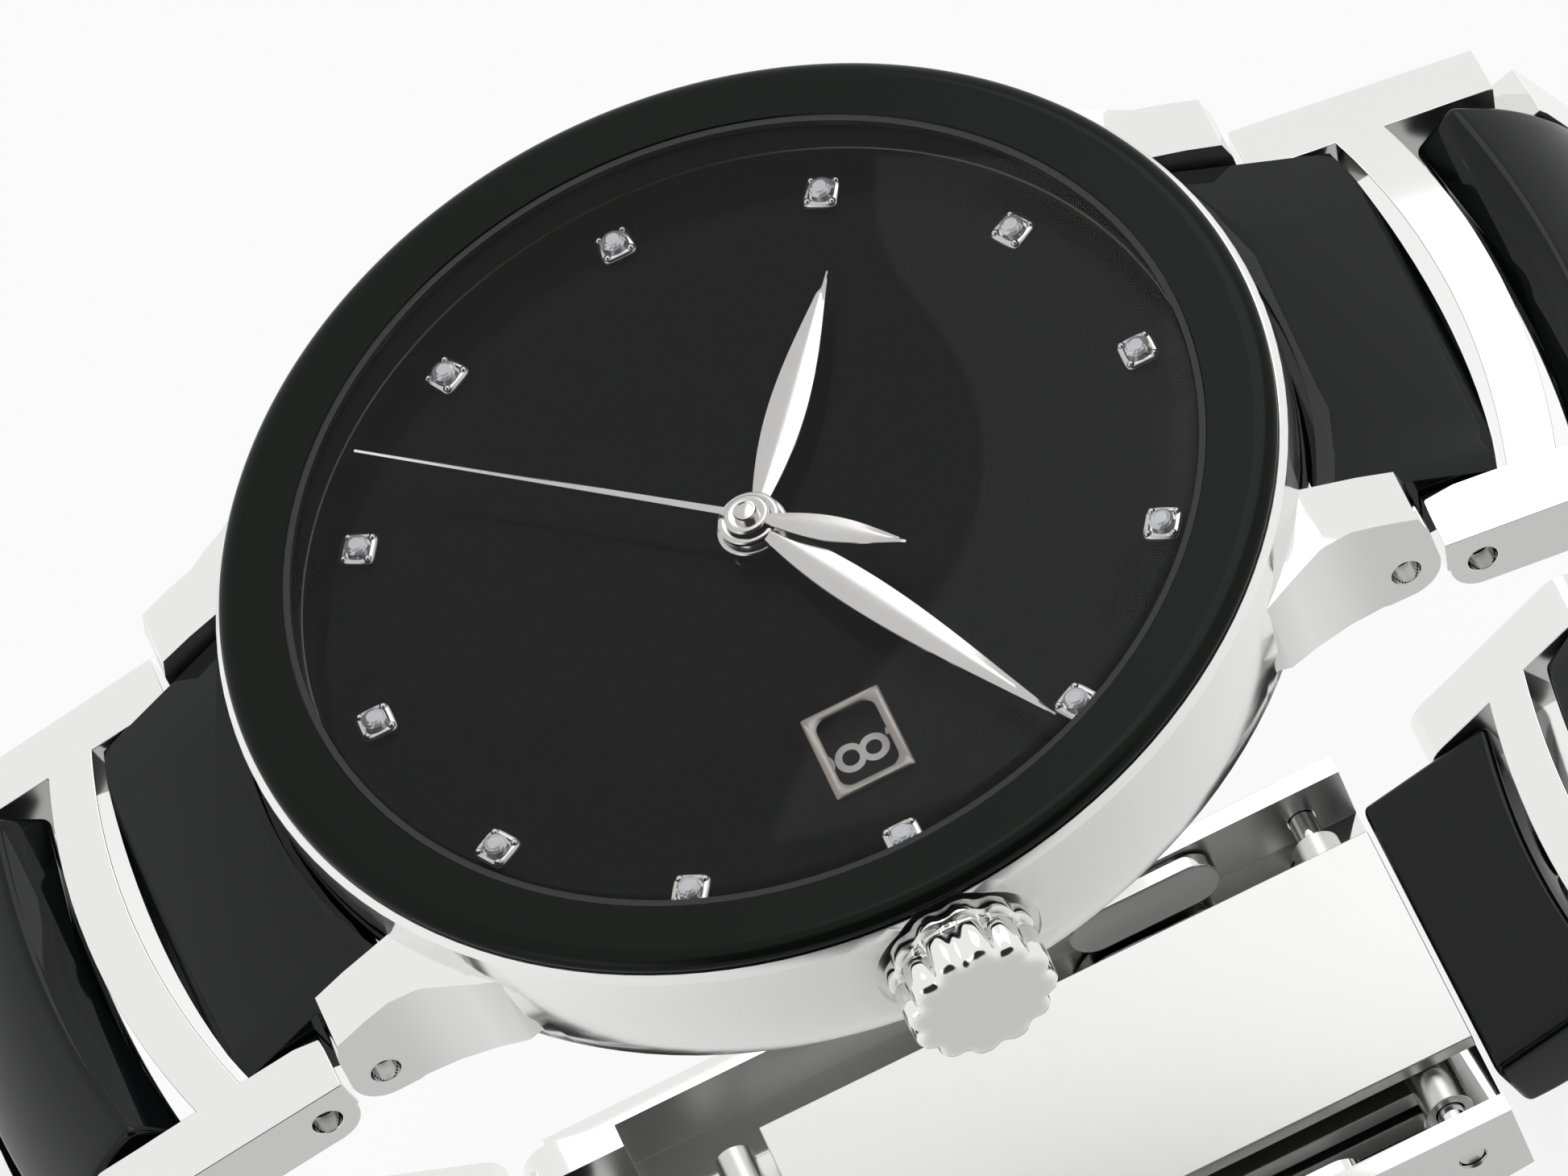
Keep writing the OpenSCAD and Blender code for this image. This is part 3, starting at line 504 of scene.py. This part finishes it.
@dataclass
class Case:
    """Case, bezel, glasses, back and crown."""

    watch: Watch
    edge: float = 0.14
    fine_edge: float = 0.05
    seal: float = 0.26
    rim_w: float = 0.7
    rim_h: float = 0.42
    flutes: int = 12
    flute_depth: float = 0.26
    base_flute_depth: float = 0.14

    def build(self) -> None:
        """Makes every piece of the case."""
        self.watch.refine("case_body", self.edge)
        self.bezel()
        for node in ("case_back", "case_screws", "flange_ring"):
            self.watch.refine(node, self.fine_edge)
        self.crown()

    def bezel(self) -> None:
        """Makes the bezel, a flat ring with a rounded rim, and the crystal just proud of its bore."""
        low, high = self.watch.box("bezel")
        glass_low, glass_high = self.watch.box("crystal")
        outer, bore, top = high[0], glass_high[0] + self.seal, high[2]
        skirt = glass_low[2] + 0.02
        rim = np.linspace(0, HALF_TURN / 2, 9)
        rounded = [
            (outer - self.rim_w * (1 - math.cos(a)), top - self.rim_h * (1 - math.sin(a))) for a in rim
        ]
        shape = Shape()
        spigot, shoulder = outer - 0.65, low[2] + 1.22
        edge_of_bore, lip = 0.05, bore - 0.12
        shape.collar([
            (spigot, low[2]), (spigot, shoulder), (outer - 0.04, shoulder), *rounded,
            (outer - self.rim_w - 0.02, top), (bore + edge_of_bore, top), (bore, top - edge_of_bore),
            (bore, skirt), (lip, skirt), (lip, low[2]),
        ])
        self.watch.place(shape.made("bezel_ring"), "bezel", BEZEL_BLACK)
        glass = Shape()
        radius = glass_high[0]
        edge = np.array([0.02, 0.0, 0.0, 0.03, 0.10, 0.2])
        heights = np.array([glass_low[2], glass_low[2] + 0.02, glass_high[2] - 0.15, glass_high[2] - 0.08,
                            glass_high[2] - 0.03, glass_high[2]])
        glass.turned([*(radius - edge), radius * 0.5], [*heights, glass_high[2]], 240)
        self.watch.place(glass.made("crystal_disc"), "crystal")

    def crown(self) -> None:
        """Makes the two-step crown: its radius is the profile's less a flute that follows a raised cosine."""
        low, high = self.watch.box("crown")
        radius = (high[2] - low[2]) / 2
        centre = (high[2] + low[2]) / 2
        start, end = low[0], high[0]
        groove = start + 0.75
        along = np.array([
            start, start + 0.05, start + 0.18, groove - 0.12, groove - 0.03, groove, groove + 0.18,
            groove + 0.22, groove + 0.4, end - 0.3, end - 0.12, end - 0.03, end,
        ])
        profile = radius - np.array([
            0.35, 0.12, 0.02, 0.02, 0.14, 0.26, 0.26, 0.14, 0.02, 0.06, 0.16, 0.34, 0.6,
        ])
        depth = np.where(along < groove + 0.1, self.base_flute_depth, self.flute_depth)
        depth = np.where((along > groove - 0.02) & (along < groove + 0.2), 0.0, depth)
        angle = np.linspace(0, FULL_TURN, 288, endpoint=False)
        flute = (0.5 + 0.5 * np.cos(self.flutes * angle)) ** 1.6
        r = profile[:, None] - depth[:, None] * flute
        x = along[:, None] * np.ones_like(angle)
        shape = Shape()
        shape.loft(np.stack([x, r * np.cos(angle), centre + r * np.sin(angle)], axis=-1))
        self.watch.place(shape.made("crown_fluted"), "crown")


@dataclass
class Dial:
    """Dial furniture: settings, stones, date frame and numerals."""

    watch: Watch
    hours: int = 12
    stone_sides: int = 16
    days: int = 31
    shown_day: int = 8
    numeral_height: float = 2.1
    frame_corner: float = 0.45

    def build(self) -> None:
        """Makes every piece on the dial."""
        low, high = self.watch.box("marker_settings")
        self.marker_r = high[1] - (high[1] - (-low[1])) / 2 - self._setting_half()
        self.floor = low[2]
        self.settings()
        self.stones()
        self.date_frame()
        self.numerals()

    def _setting_half(self) -> float:
        """Half the width of one setting: the rim of the stone is 0.31 of a setting's width."""
        low, high = self.watch.box("diamonds")
        set_low, set_high = self.watch.box("marker_settings")
        gap = set_high[1] - high[1]
        return gap / (0.5 - 0.31) / 2

    def settings(self) -> None:
        """Makes twelve cushions, superellipses whose sides lean in, with a bead at each corner."""
        half = self._setting_half()
        angle = np.linspace(0, FULL_TURN, 48, endpoint=False)
        power = 0.42
        unit = np.stack([np.sign(np.cos(angle)) * np.abs(np.cos(angle)) ** power,
                         np.sign(np.sin(angle)) * np.abs(np.sin(angle)) ** power], axis=-1)
        scale = np.array([0.93, 1.0, 1.0, 0.95, 0.86, 0.7, 0.62])
        height = np.array([0.0, 0.04, 0.18, 0.27, 0.31, 0.31, 0.24])
        cushion = np.empty((len(scale), len(angle), 3))
        cushion[..., :2] = unit[None] * (scale * half)[:, None, None]
        cushion[..., 2] = height[:, None]
        bead_angle = np.linspace(0, FULL_TURN, 12, endpoint=False)
        rise = np.linspace(0.0, HALF_TURN / 2 * 0.96, 5)
        bead_r = 0.15
        shape = Shape()
        for hour in range(self.hours):
            turn = 360 / self.hours * hour
            shift = np.array([0, self.marker_r, self.floor])
            shape.loft(turn_z((cushion + shift).reshape(-1, 3), turn).reshape(cushion.shape))
            for sx in (-1, 1):
                for sy in (-1, 1):
                    middle = np.array([sx * half * 0.66, sy * half * 0.66, 0.27])
                    bead = np.stack([bead_r * np.cos(rise)[:, None] * np.cos(bead_angle),
                                     bead_r * np.cos(rise)[:, None] * np.sin(bead_angle),
                                     0.14 * np.sin(rise)[:, None] * np.ones_like(bead_angle)], axis=-1)
                    placed = (bead + middle + shift).reshape(-1, 3)
                    shape.loft(turn_z(placed, turn).reshape(bead.shape))
        self.watch.place(shape.made("marker_cushions"), "marker_settings")

    def stones(self) -> None:
        """Makes twelve brilliants: flat facets between rings that each turn by half a step."""
        low, high = self.watch.box("diamonds")
        girdle = self._setting_half() * 0.64
        sides = self.stone_sides
        radii = np.array([0.12, 0.98, 1.0, 0.8, 0.56])
        heights = np.array([0.0, 0.6, 0.68, 0.86, 1.0]) * (high[2] - low[2])
        step = np.arange(len(radii))[:, None] * 0.5
        angle = (np.arange(sides)[None] + step) * FULL_TURN / sides
        rings = np.stack([girdle * radii[:, None] * np.cos(angle), girdle * radii[:, None] * np.sin(angle),
                          heights[:, None] * np.ones_like(angle)], axis=-1)
        shape = Shape()
        for hour in range(self.hours):
            shift = np.array([0, self.marker_r, low[2]])
            shape.loft(turn_z((rings + shift).reshape(-1, 3), 360 / self.hours * hour).reshape(rings.shape))
        self.watch.place(shape.made("brilliants", flat=True), "diamonds")

    def date_frame(self) -> None:
        """Makes the date frame: a low wall carried round a rectangle whose corners are arcs."""
        low, high = self.watch.box("date_frame")
        centre, half = (low + high) / 2, (high - low) / 2
        angle = np.linspace(0, FULL_TURN, 97)[:-1]
        quadrant = np.stack([np.sign(np.cos(angle)), np.sign(np.sin(angle))], axis=-1)
        arc = np.stack([np.cos(angle), np.sin(angle)], axis=-1)
        inset = np.array([0.36, 0.36, 0.28, 0.06, 0.0, 0.0])
        height = np.array([0.0, 0.10, 0.16, 0.16, 0.11, 0.0])
        corner = np.array([self.frame_corner] * 3 + [0.12] * 3)
        straight = half[:2][None] - inset[:, None] - corner[:, None]
        loops = quadrant[None] * straight[:, None] + arc[None] * corner[:, None, None]
        ring = np.empty((len(inset), len(angle), 3))
        ring[..., :2] = loops + centre[:2]
        ring[..., 2] = low[2] + height[:, None]
        shape = Shape()
        shape.band(ring)
        self.watch.place(shape.made("date_frame_rounded"), "date_frame")

    def numerals(self) -> None:
        """Prints plain day numbers round the date disc, each upright when it stands at the window."""
        low, high = self.watch.box("date_ring")
        window, _ = self.watch.box("date_frame")
        radius = (window[0] + self.watch.box("date_frame")[1][0]) / 2
        shape = Shape()
        for day in range(1, self.days + 1):
            curve = bpy.data.curves.new("day", "FONT")
            curve.body = str(day)
            curve.size = self.numeral_height * 1.35
            curve.align_x, curve.align_y = "CENTER", "CENTER"
            writer = bpy.data.objects.new("day", curve)
            flat = bpy.data.meshes.new_from_object(writer)
            points = np.empty(len(flat.vertices) * 3)
            flat.vertices.foreach_get("co", points)
            points = points.reshape(-1, 3)
            points[:, :2] -= (points[:, :2].max(axis=0) + points[:, :2].min(axis=0)) / 2
            points = points + np.array([radius, 0, high[2] + 0.012])
            turn = (day - self.shown_day) * 360 / self.days
            shape.add(turn_z(points, turn), [list(p.vertices) for p in flat.polygons])
            bpy.data.objects.remove(writer)
            bpy.data.curves.remove(curve)
            bpy.data.meshes.remove(flat)
        self.watch.place(shape.made("day_numbers", flat=True), "date_ring", NUMERAL, extra=True)


@dataclass
class Hand:
    """Sizes of one hand: how it is drawn when it points to 12."""

    node: str
    angle: float
    length: float
    width: float
    belly: float
    hub: float
    thick: float = 0.17
    tail: float = 0.0
    tail_width: float = 0.0


@dataclass
class Hands:
    """The three hands and the hub they share."""

    watch: Watch
    hands: tuple[Hand, ...] = (
        Hand("hour_hand", 305.3, 10.7, 1.5, 0.45, 1.25),
        Hand("minute_hand", 64.5, 14.95, 1.45, 0.38, 1.1),
        Hand("seconds_hand", 222.4, 15.2, 0.3, 0.05, 0.8, 0.12, 6.1, 1.05),
    )
    root: float = 0.3
    tip: float = 0.075

    def leaf(
        self, shape: Shape, length: float, width: float, belly: float, z: float, thick: float, back: bool
    ) -> None:
        """Adds a leaf: a ridge runs along the middle, and the half width follows a skewed sine of the length.

        Args:
            shape: where the leaf goes.
            length: from the hub's centre to the tip, in millimetres.
            width: at the belly.
            belly: where the belly is, as a share of the length.
            z: height of the underside.
            thick: height of the ridge.
            back: turns the leaf to point away from 12.
        """
        along = np.linspace(0, 1, 60)
        skew = math.log(0.5) / math.log(belly)
        half = 0.05 + (width / 2 - 0.05) * np.sin(HALF_TURN * along**skew) ** 1.15
        half = np.where(along < 0.12, np.maximum(half, self.root * (1 - along / 0.12) * 0.6), half)
        half = np.minimum(half, 0.05 + (1 - along) * width * 3)
        half = np.maximum(half, self.tip * (1.9 - along))
        across = np.array([-1.0, -0.96, -0.5, 0.0, 0.5, 0.96, 1.0, 0.96, -0.96])
        height = np.array([0.25, 0.55, 0.78, 1.0, 0.78, 0.55, 0.25, 0.0, 0.0])
        x = half[:, None] * across
        y = (length * along)[:, None] * np.ones_like(across)
        rings = np.stack([x, y, z + thick * height * np.ones_like(x)], axis=-1)
        if back:
            rings = rings * np.array([-1, -1, 1])
        shape.loft(rings)

    def build(self) -> None:
        """Makes each hand with a dished hub, and the pin that crowns them."""
        for hand in self.hands:
            low, high = self.watch.box(hand.node)
            pinned = hand.tail > 0
            z = high[2] - hand.thick - (0.26 if pinned else 0.02)
            top = z + hand.thick + 0.02
            shape = Shape()
            self.leaf(shape, hand.length, hand.width, hand.belly, z, hand.thick, False)
            if pinned:
                self.leaf(shape, hand.tail, hand.tail_width, 0.5, z, hand.thick, True)
            hub = hand.hub
            shape.turned([hub - 0.1, hub, hub, hub - 0.04, hub - 0.1, hub - 0.22, hub - 0.3],
                         [z, z + 0.02, top - 0.05, top - 0.01, top, top, top - 0.02])
            if pinned:
                pin, crest = 0.42, high[2]
                radii = [pin, pin, pin - 0.03, pin - 0.1, pin - 0.13, pin - 0.2, 0.02]
                drops = [0.06, 0.01, 0.0, 0.03, 0.02, 0.01]
                shape.turned(radii, [z - 0.1, *(crest - drop for drop in drops)], 48)
            else:
                sleeve = hub * 0.78
                shape.turned([sleeve, sleeve], [low[2], z], 48)
            angle = hand.angle
            self.watch.place(shape.made(hand.node + "_leaf", lambda p, a=angle: turn_z(p, a)), hand.node)


@dataclass
class Bracelet:
    """Steel H-links, domed ceramic pieces, and the clasp."""

    watch: Watch
    sides: tuple[str, ...] = ("12", "6")
    steel_links: int = 5
    ceramic_pieces: int = 6
    dips: tuple[float, ...] = (28, 10.5, 52, 68, 84, 97, 110, 124, 138, 152, 166)
    centre_pitch: float = 2.95
    link_pitch: float = 6.5
    lug_pin: tuple[float, float] = (19.35, 2.4)
    front: float = 1.85
    rear: float = 1.1
    bottom: float = -1.15
    top: float = 2.1
    dome_r: float = 9.0
    cross_r: float = 90.0
    bow_half: float = 8.0
    bow_rise: float = 1.05
    rim: float = 0.3

    def pin(self, index: int) -> np.ndarray:
        """Place of a pin, in (y, z): each is one pitch further along the dipping row."""
        at = np.array(self.lug_pin)
        for i in range(index):
            pitch = self.centre_pitch if i % 2 == 0 else self.link_pitch
            dip = math.radians(self.dips[i])
            at = at + pitch * np.array([math.cos(dip), -math.sin(dip)])
        return at

    def build(self) -> None:
        """Makes both halves of the bracelet, then the clasp."""
        for side in self.sides:
            for k in range(1, self.steel_links + 1):
                self.watch.refine(f"link_{side}_{k}", 0.13)
            for k in range(1, self.ceramic_pieces):
                self.ceramic(side, k)
            self.watch.refine(f"centre_{side}_0", 0.16, angle=40.0)
        for node in ("clasp_cover", "button_left", "button_right", "blade_outer", "blade_inner"):
            self.watch.refine(node, 0.12 if node == "clasp_cover" else 0.07)

    def ceramic(self, side: str, k: int) -> None:
        """Makes one ceramic piece: a rounded block under two domes, whose ends bow away from the case.

        The section across is a rectangle with round corners. Its top drops by a dome along the band and
        by a dome across it, and each end is rounded by a quarter circle that draws the section in.

        Args:
            side: which half of the bracelet.
            k: the piece's number along it.
        """
        low, high = self.watch.box(f"centre_{side}_{k}")
        half = (high[0] - low[0]) / 2
        last = k == self.ceramic_pieces - 1
        bow = 0.0 if last else self.bow_rise
        quarter = np.linspace(0, HALF_TURN / 2, 7)
        start, end = -self.front, self.centre_pitch + self.rear
        between = np.linspace(start, end, 26)[2:-2]
        drawn_in = self.rim * (1 - np.cos(quarter))
        rounding = self.rim * (1 - np.sin(quarter))
        along = np.concatenate([start + rounding[::-1], between, end - rounding])
        inset = np.concatenate([drawn_in[::-1], np.zeros(len(between)), drawn_in])
        corner_x, corner_z, arc_x, arc_z = rounded_section()
        x = (half - inset - self.rim)[:, None] * corner_x + self.rim * arc_x
        middle = self.centre_pitch / 2
        drop = self.dome_r - np.sqrt(self.dome_r**2 - (along - middle) ** 2)
        across = (x * x) / (2 * self.cross_r)
        upper = self.top - drop[:, None] - across - inset[:, None]
        lower = self.bottom + inset[:, None]
        h = (upper + lower) / 2 + ((upper - lower) / 2 - self.rim) * corner_z + self.rim * arc_z
        bend_front = bow_of(x, self.bow_half, self.bow_rise)
        share = ((along - start) / (end - start))[:, None]
        y = along[:, None] + bend_front * (1 - share) + bow_of(x, self.bow_half, bow) * share
        at, dip = self.pin(2 * k), math.radians(self.dips[2 * k])
        sign = 1 if side == "12" else -1
        gy = sign * (at[0] + y * math.cos(dip) + h * math.sin(dip))
        gz = at[1] - y * math.sin(dip) + h * math.cos(dip)
        shape = Shape()
        shape.loft(np.stack([x, gy, gz], axis=-1))
        self.watch.place(shape.made(f"ceramic_{side}_{k}"), f"centre_{side}_{k}")


def rounded_section(steps: int = 8, top_steps: int = 24) -> tuple[np.ndarray, ...]:
    """Walks once round a rectangle whose corners are arcs, from the middle of its right side.

    Args:
        steps: points on each corner's arc.
        top_steps: points on each of the two long sides.

    Returns:
        The corner's share in x and z at each point, then the arc's cosine and sine there.
    """
    parts = []
    for number, (sx, sz) in enumerate(((1, 1), (-1, 1), (-1, -1), (1, -1))):
        angle = np.linspace(0, HALF_TURN / 2, steps) + number * HALF_TURN / 2
        fixed = np.ones(steps)
        parts.append(np.stack([sx * fixed, sz * fixed, np.cos(angle), np.sin(angle)]))
        if number in (0, 2):
            run = np.linspace(sx, -sx, top_steps + 2)[1:-1]
            flat = np.ones(top_steps)
            parts.append(np.stack([run, sz * flat, 0 * flat, sz * flat]))
    return tuple(np.concatenate(parts, axis=1))


def bow_of(x: np.ndarray, half: float, rise: float) -> np.ndarray:
    """How far a bowed end stands out at x: the rise less a parabola that is zero at the half chord."""
    return rise * (1 - (x / half) ** 2)


@dataclass
class Studio:
    """Floor, sky, lamps and camera."""

    floor_z: float
    lens: float = 373.5
    distance: float = 0.5603
    elevation: float = 51.15
    azimuth: float = 90.04
    roll: float = -26.04
    aim: tuple[float, float, float] = (0.0, 0.00005, 0.00347)
    floor_tone: float = 0.93
    sky: float = 0.92
    floor_lift: float = 0.85

    def build(self) -> None:
        """Makes the whole studio."""
        self.floor()
        self.world()
        self.lamp("key", (-0.45, 0.25, 0.75), 0.5, 0.9)
        self.lamp("fill", (0.3, -0.6, 0.5), 0.4, 0.3)
        self.camera()
        bpy.context.scene.view_settings.view_transform = "Standard"

    def floor(self) -> None:
        """Makes a wide pale floor that curves up gently at its rim, so no edge shows."""
        shape = Shape()
        radii = np.array([3.0, 3.0, 2.2, 1.0, 0.3, 0.02]) / MM
        heights = np.array([-0.02, 0.35, 0.06, 0.0, 0.0, 0.0]) / MM + self.floor_z / MM
        shape.turned(radii, heights, 96)
        ground = shape.made("floor")
        made = bpy.data.materials.new("studio floor")
        made.use_nodes = True
        shader = Shader(made.node_tree)
        cloud = shader.noise((3.0, 3.0, 3.0))
        low = (self.floor_tone - 0.01,) * 3
        tone = shader.blend(low, (self.floor_tone,) * 3, cloud)
        matte = shader.node("ShaderNodeBsdfDiffuse", inputs={"Color": tone})
        glow = shader.node("ShaderNodeEmission", inputs={"Color": (1, 1, 1, 1), "Strength": 1.0})
        camera, glossy, through = (
            shader.node("ShaderNodeLightPath", out=f"Is {kind} Ray")
            for kind in ("Camera", "Glossy", "Transmission")
        )
        seen = (camera + glossy + through).clamped()
        both = shader.node("ShaderNodeMixShader", inputs={0: seen * self.floor_lift, 1: matte, 2: glow})
        shader.node("ShaderNodeOutputMaterial", inputs={"Surface": both})
        ground.data.materials.append(made)
        ground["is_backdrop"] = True

    def world(self) -> None:
        """A pale sky with one soft dark patch, which draws the fine dark lines on polished edges."""
        world = bpy.data.worlds.new("studio sky")
        world.use_nodes = True
        bpy.context.scene.world = world
        shader = Shader(world.node_tree)
        direction = shader.node("ShaderNodeTexCoord", out="Generated")
        towards = (0.70, -0.06, 0.71)
        dot = {"operation": "DOT_PRODUCT"}
        facing = shader.node("ShaderNodeVectorMath", dot, {0: direction, 1: towards}, out="Value")
        patch = ((facing - 0.74) * 9.0).clamped()
        seen = shader.node("ShaderNodeLightPath", out="Is Camera Ray")
        dark = patch * (1 - seen)
        tone = shader.blend((self.sky,) * 3, (0.03,) * 3, dark)
        light = shader.node("ShaderNodeBackground", inputs={"Color": tone, "Strength": 1.0})
        shader.node("ShaderNodeOutputWorld", inputs={"Surface": light})

    def lamp(self, name: str, place: tuple[float, float, float], size: float, power: float) -> None:
        """Adds one soft square lamp that faces the watch."""
        light = bpy.data.lights.new(name, "AREA")
        light.size = size
        light.energy = power
        made = bpy.data.objects.new(name, light)
        made.location = place
        made.rotation_euler = (-Vector(place)).to_track_quat("-Z", "Y").to_euler()
        bpy.context.scene.collection.objects.link(made)

    def camera(self) -> None:
        """Sets the camera on a sphere round the aim, rolled about its own axis."""
        el, az, roll = (math.radians(a) for a in (self.elevation, self.azimuth, self.roll))
        back = Vector((math.cos(el) * math.sin(az), -math.cos(el) * math.cos(az), math.sin(el)))
        level = Vector((0, 0, 1)).cross(back).normalized()
        up = back.cross(level)
        right = level * math.cos(roll) + up * math.sin(roll)
        rolled_up = up * math.cos(roll) - level * math.sin(roll)
        data = bpy.data.cameras.new("camera")
        data.lens = self.lens
        data.sensor_width = 36.0
        data.clip_start = 0.01
        made = bpy.data.objects.new("camera", data)
        place = Vector(self.aim) + back * self.distance
        made.matrix_world = Matrix.Translation(place) @ Matrix((right, rolled_up, back)).transposed().to_4x4()
        bpy.context.scene.collection.objects.link(made)
        bpy.context.scene.camera = made


def dress_rest(watch: Watch) -> None:
    """Gives every node that no new piece replaces its slot's finish."""
    for name, node in watch.frame["nodes"].items():
        if node.hide_render:
            continue
        node.data.materials.clear()
        node.data.materials.append(SLOT_FINISH[watch.slot_of(name)].material())


def main() -> None:
    """Builds the watch and its studio, with the floor at the lowest point of the imported parts."""
    logging.basicConfig(level=logging.INFO)
    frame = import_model()
    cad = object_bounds()
    watch = Watch(frame)
    for assembly in (Case(watch), Dial(watch), Hands(watch), Bracelet(watch)):
        assembly.build()
    dress_rest(watch)
    Studio(floor_z=cad[0][2] - 0.0001).build()


if __name__ == "__main__":
    main()
